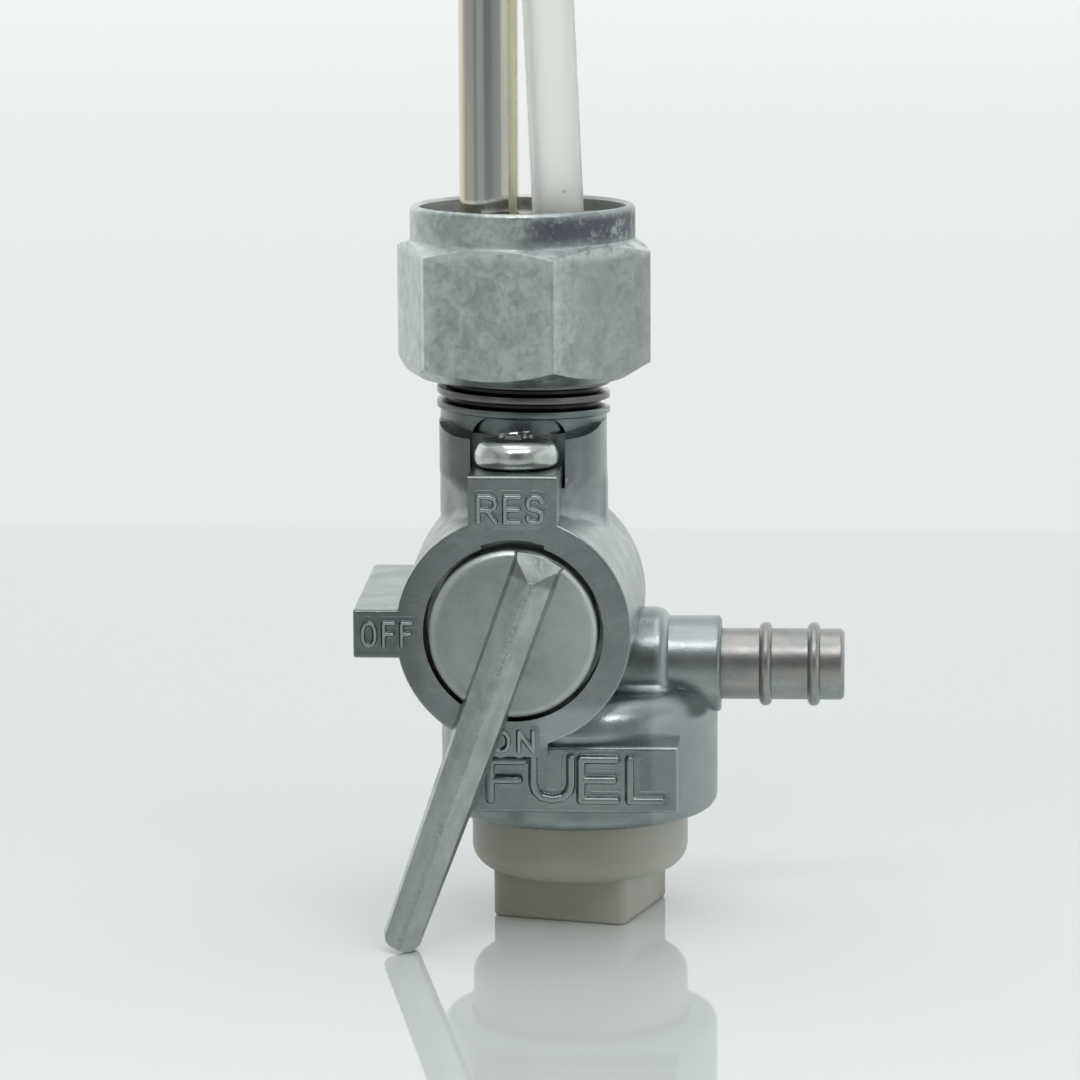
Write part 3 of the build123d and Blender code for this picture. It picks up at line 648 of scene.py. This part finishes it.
def add_words():
    ring = {"face_y": RING_FACE, "high": FACE_HIGH, "cell": 0.06, "material": "face_words"}
    raised_word("word_res", word("RES", ((-3.66, -1.46), (-0.95, 0.95), (1.35, 3.19)), 43.8, 46.8),
                half=0.2, soft=0.24, **ring)
    raised_word("word_off", word("OFF", ((-15.56, -13.9), (-13.4, -11.95), (-11.55, -10.17)), 31.03, 33.74),
                half=0.18, soft=0.22, **ring)
    raised_word("word_on", word("ON", ((-2.35, -0.35), (0.34, 2.17)), 20.2, 22.6), half=0.19, soft=0.22, **ring)
    fuel = [("F", -2.9, 1.2, 14.5, 19.3), ("U", 1.5, 6.1, 14.6, 19.6), ("E", 6.4, 10.7, 14.5, 19.5),
            ("L", 11.4, 15.35, 14.5, 19.5)]
    raised_word("word_fuel", fuel, PAD_FACE, 0.36, 0.4, PAD_HIGH, 0.08, "pad_words")


def add_threads():
    thread = thread_tree()
    sunk, fade = 0.2, 0.35
    high = (NECK_CREST - NECK_ROOT + sunk) * MM
    thread.grow("neck_thread", "cast_body", "tap", "cast_body", foot=(NECK_ROOT - sunk) * MM, low=NECK_LOW * MM,
                pitch=NECK_PITCH * MM, turns=(NECK_HIGH - NECK_LOW) / NECK_PITCH, high=high, shift=high / 2,
                inner=1.36 * MM, outer=0.66 * MM, round=0.08 * MM, fade=fade)
    high, low, top = NUT_THREAD_DEEP * MM, NUT_SEAT + 2.7, NUT_LIP - 1.3
    thread.grow("nut_thread", "cast_nut", "nut", "cast_nut", foot=(NUT_MOUTH + sunk) * MM, low=low * MM,
                pitch=NUT_PITCH * MM, turns=(top - low) / NUT_PITCH, high=high, shift=-high / 2,
                inner=0.18 * MM, outer=1.1 * MM, round=0.04 * MM, fade=fade)


# ---- studio

def add_light(name, place, size, power):
    """A rectangular light that faces the middle of the tap; metres and watts."""
    aim = Vector((0, 0, 0.04))
    light = bpy.data.lights.new(name, "AREA")
    light.shape = "RECTANGLE"
    light.size, light.size_y = size
    light.energy = power
    obj = bpy.data.objects.new(name, light)
    obj.location = place
    obj.rotation_euler = (aim - Vector(place)).to_track_quat("-Z", "Y").to_euler()
    bpy.context.scene.collection.objects.link(obj)


def add_lights():
    # a long soft strip in front and above, with two brighter panes, and a weak light overhead
    add_light("strip", (0.07, -0.365, 0.572), (0.55, 0.1), 0.7)
    add_light("pane_left", (-0.115, -0.335, 0.575), (0.14, 0.07), 0.12)
    add_light("pane_right", (0.255, -0.246, 0.575), (0.14, 0.07), 0.12)
    add_light("top_light", (0.0, 0.05, 0.7), (0.5, 0.5), 0.7)


# brightness of the room in front of the tap, by the x of the direction: it shows as stripes on the pipe
FRONT = [(-1.0, 0.48), (-0.86, 0.46), (-0.79, 0.26), (-0.69, 0.26), (-0.62, 0.46), (-0.3, 0.42), (-0.17, 0.17),
         (0.2, 0.17), (0.36, 0.3), (0.76, 0.42), (0.83, 0.86), (0.94, 0.86), (1.0, 0.7)]
BEHIND, ABOVE = 1.05, 0.7
ROOM_COLOUR, BACKDROP_COLOUR = (0.96, 1.0, 0.99, 1), (0.83, 0.84, 0.84, 1)


def add_world():
    """The room that lights the tap and shows in its metal, and the plain backdrop that the camera sees."""
    world = bpy.data.worlds.new("studio")
    bpy.context.scene.world = world
    world.use_nodes = True
    tree = world.node_tree
    tree.nodes.clear()

    def add(kind, **settings):
        made = tree.nodes.new("ShaderNode" + kind)
        for key, item in settings.items():
            setattr(made, key, item)
        return made

    def ramp(value, *ends, kind="SMOOTHSTEP"):
        made = add("MapRange", interpolation_type=kind)
        tree.links.new(value, made.inputs["Value"])
        for key, item in zip(("From Min", "From Max", "To Min", "To Max"), ends):
            if isinstance(item, bpy.types.NodeSocket):
                tree.links.new(item, made.inputs[key])
            else:
                made.inputs[key].default_value = item
        return made.outputs[0]

    split = add("SeparateXYZ")
    tree.links.new(add("TexCoord").outputs["Generated"], split.inputs[0])
    x, y, z = split.outputs
    front = add("ValToRGB")
    tree.links.new(ramp(x, -1.0, 1.0, 0.0, 1.0, kind="LINEAR"), front.inputs[0])
    stops = front.color_ramp.elements
    stops.remove(stops[0])
    for i, (across, level) in enumerate(FRONT):
        stop = stops[0] if i == 0 else stops.new((across + 1) / 2)
        stop.position = (across + 1) / 2
        stop.color = (level, level, level, 1.0)
    level = ramp(y, 0.0, 0.6, front.outputs[0], BEHIND)
    room, backdrop = add("Background"), add("Background")
    tree.links.new(ramp(z, 0.5, 0.95, level, ABOVE), room.inputs["Strength"])
    room.inputs["Color"].default_value = ROOM_COLOUR
    backdrop.inputs["Color"].default_value = BACKDROP_COLOUR
    mix = add("MixShader")
    tree.links.new(add("LightPath").outputs["Is Camera Ray"], mix.inputs[0])
    tree.links.new(room.outputs[0], mix.inputs[1])
    tree.links.new(backdrop.outputs[0], mix.inputs[2])
    tree.links.new(mix.outputs[0], add("OutputWorld").inputs["Surface"])


def add_floor():
    """A polished pale floor that reflects the tap; it is a little lighter in front, and past far_low to
    far_high millimetres it takes the backdrop's tone."""
    side, far_low, far_high = 3.0, 243.0, 252.0
    mesh = bpy.data.meshes.new("floor")
    mesh.from_pydata([(-side, -side, 0), (side, -side, 0), (side, side, 0), (-side, side, 0)], [], [(0, 1, 2, 3)])
    floor = bpy.data.objects.new("floor", mesh)
    bpy.context.scene.collection.objects.link(floor)
    s = Shade("floor", IOR=1.85, Roughness=0.04)
    x, y, z = s.place()
    near = s.blend(s.span(y, -90.0, 90.0), (0.76, 0.795, 0.785), (0.67, 0.70, 0.69))
    colour = s.blend(s.span(y, far_low, far_high), near, (0.745, 0.75, 0.755))
    mesh.materials.append(s.finish(Base_Color=colour))


def add_camera():
    pitch, pan, roll = (math.radians(angle) for angle in (CAMERA_PITCH, CAMERA_PAN, CAMERA_ROLL))
    ahead = Vector((-math.sin(pan) * math.cos(pitch), math.cos(pan) * math.cos(pitch), -math.sin(pitch)))
    right = Vector((math.cos(pan), math.sin(pan), 0))
    up = right.cross(ahead)
    side = right * math.cos(roll) + up * math.sin(roll)
    top = up * math.cos(roll) - right * math.sin(roll)
    data = bpy.data.cameras.new("camera")
    data.sensor_width = 36.0
    data.lens = FOCAL / IMAGE_SIDE * data.sensor_width
    data.clip_start = 0.01
    camera = bpy.data.objects.new("camera", data)
    place = (Vector(CAMERA_TARGET) - ahead * CAMERA_DISTANCE) * MM
    camera.matrix_world = Matrix.Translation(place) @ Matrix((side, top, -ahead)).transposed().to_4x4()
    bpy.context.scene.collection.objects.link(camera)
    bpy.context.scene.camera = camera


dress_nodes()
add_threads()
add_words()
add_world()
add_floor()
add_lights()
add_camera()
bpy.context.scene.view_settings.view_transform = "Standard"
